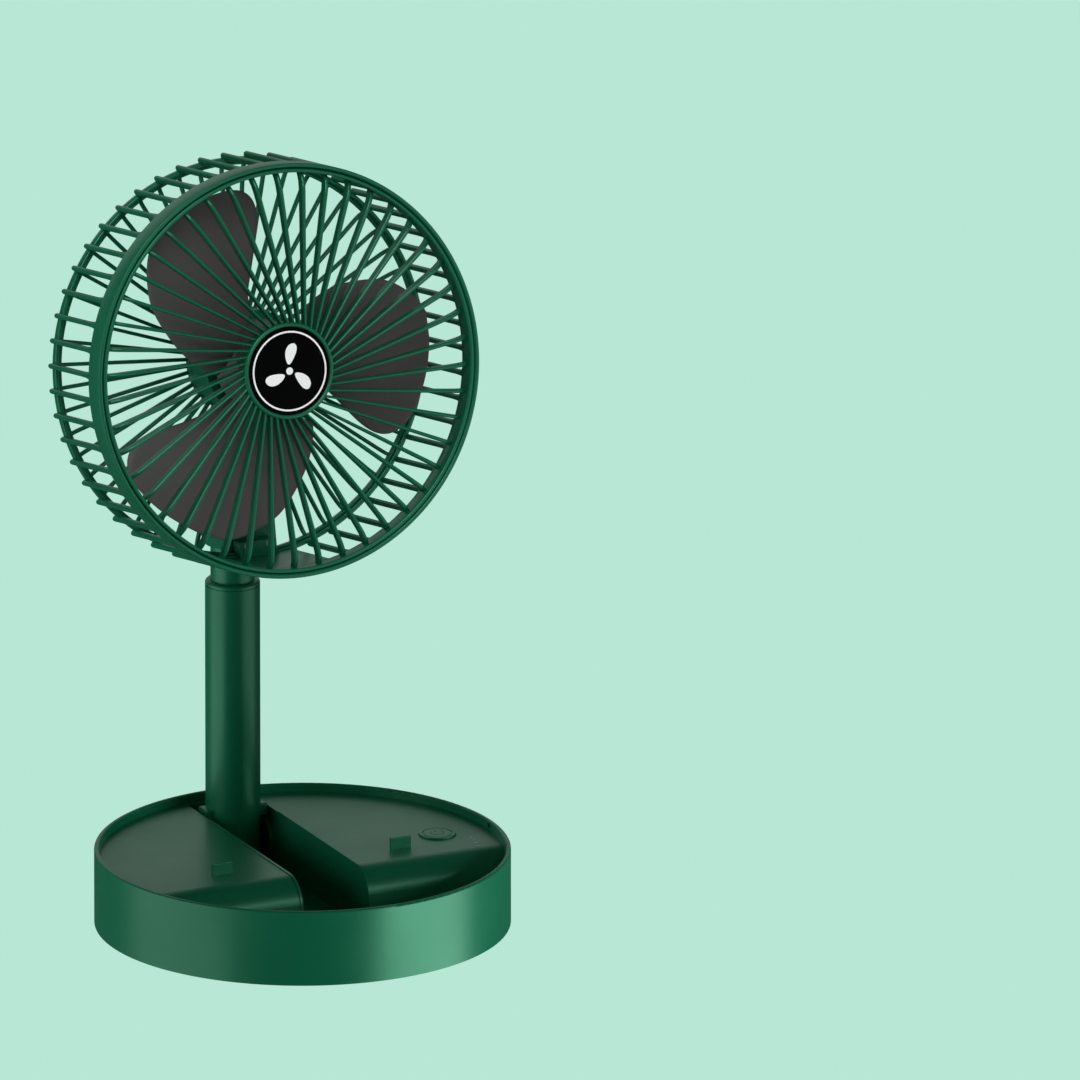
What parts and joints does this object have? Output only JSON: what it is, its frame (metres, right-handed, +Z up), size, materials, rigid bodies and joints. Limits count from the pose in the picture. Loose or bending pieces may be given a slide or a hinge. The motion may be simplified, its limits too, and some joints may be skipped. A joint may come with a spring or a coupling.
{
  "type": "desk fan",
  "caption": "Folding desk fan: round tray base, telescopic pole that folds into it, caged head that tilts and flips face up, three-bladed rotor, and a push button.",
  "frame": {"origin": "centre of the base's underside, on the surface that the feet stand on", "axes": "+Z up, the front of the fan is -Y, +X is the fan's own left-to-right seen from the front"},
  "size_m": [0.19, 0.19, 0.3535],
  "materials": {
    "green_shell": "satin",
    "rotor_grey": "satin",
    "badge_black": "gloss",
    "badge_white": "printed",
    "rubber": "matt",
    "steel": "plated",
    "black_plastic": "matt",
    "cell_wrap": "shrink wrap",
    "board_green": "lacquered",
    "lens_clear": "clear",
    "brass": "machined"
  },
  "bodies": {
    "base": {"outer_band": "green_shell", "base_deck": "green_shell", "deck_tabs": "green_shell", "base_cover": "green_shell", "base_feet": "rubber", "base_screws": "steel", "battery_cells": "cell_wrap", "battery_cradle": "black_plastic", "control_board": "board_green", "board_screws": "steel", "push_switch": "black_plastic", "button_pad": "rubber", "charging_port": "steel", "indicator_lenses": "lens_clear", "pole_pin": "steel", "pole_clips": "steel", "pole_washers": "black_plastic"},
    "power_button": {"power_button": "green_shell"},
    "outer_pole": {"outer_tube": "green_shell", "tube_collar": "green_shell", "friction_ring": "rubber"},
    "inner_pole": {"inner_tube": "green_shell", "slide_bush": "black_plastic", "neck_knuckle": "green_shell"},
    "neck": {"neck_pin": "steel", "neck_discs": "black_plastic"},
    "head": {"head_bracket": "green_shell", "bracket_screws": "steel", "side_cage": "green_shell", "front_grille": "green_shell", "badge_disc": "badge_black", "badge_ring": "badge_white", "rear_grille": "green_shell", "motor_housing": "green_shell", "motor_can": "steel", "motor_bushes": "brass", "motor_magnets": "black_plastic", "motor_screws": "steel"},
    "rotor": {"motor_shaft": "steel", "motor_armature": "brass", "fan_rotor": "rotor_grey", "rotor_nut": "steel"}
  },
  "joints": [
    {"name": "pole_fold", "type": "hinge", "parent": "base", "child": "outer_pole", "pos_m": [0, 0.0754, 0.0175], "axis": [1, 0, 0], "range_deg": [0, 90]},
    {"name": "height_slide", "type": "slide", "parent": "outer_pole", "child": "inner_pole", "axis": [0, 0, -1], "range_m": [-0.06, 0]},
    {"name": "neck_flip", "type": "hinge", "parent": "inner_pole", "child": "neck", "pos_m": [0, 0.0754, 0.1704], "axis": [1, 0, 0], "range_deg": [-170, 0]},
    {"name": "head_tilt", "type": "hinge", "parent": "neck", "child": "head", "pos_m": [0, 0.0754, 0.1704], "axis": [1, 0, 0], "range_deg": [-80, 0]},
    {"name": "rotor_spin", "type": "hinge", "parent": "head", "child": "rotor", "pos_m": [0, 0.013, 0.2601], "axis": [0, -0.9848, 0.1736], "continuous": true},
    {"name": "power_press", "type": "slide", "parent": "base", "child": "power_button", "axis": [0, 0, -1], "range_m": [0, 0.0012], "stiffness_N_per_m": 600, "springref_m": -0.0008}
  ],
  "couplings": [
    {"joint": "neck_flip", "follows": "pole_fold", "ratio": -1.8889}
  ]
}
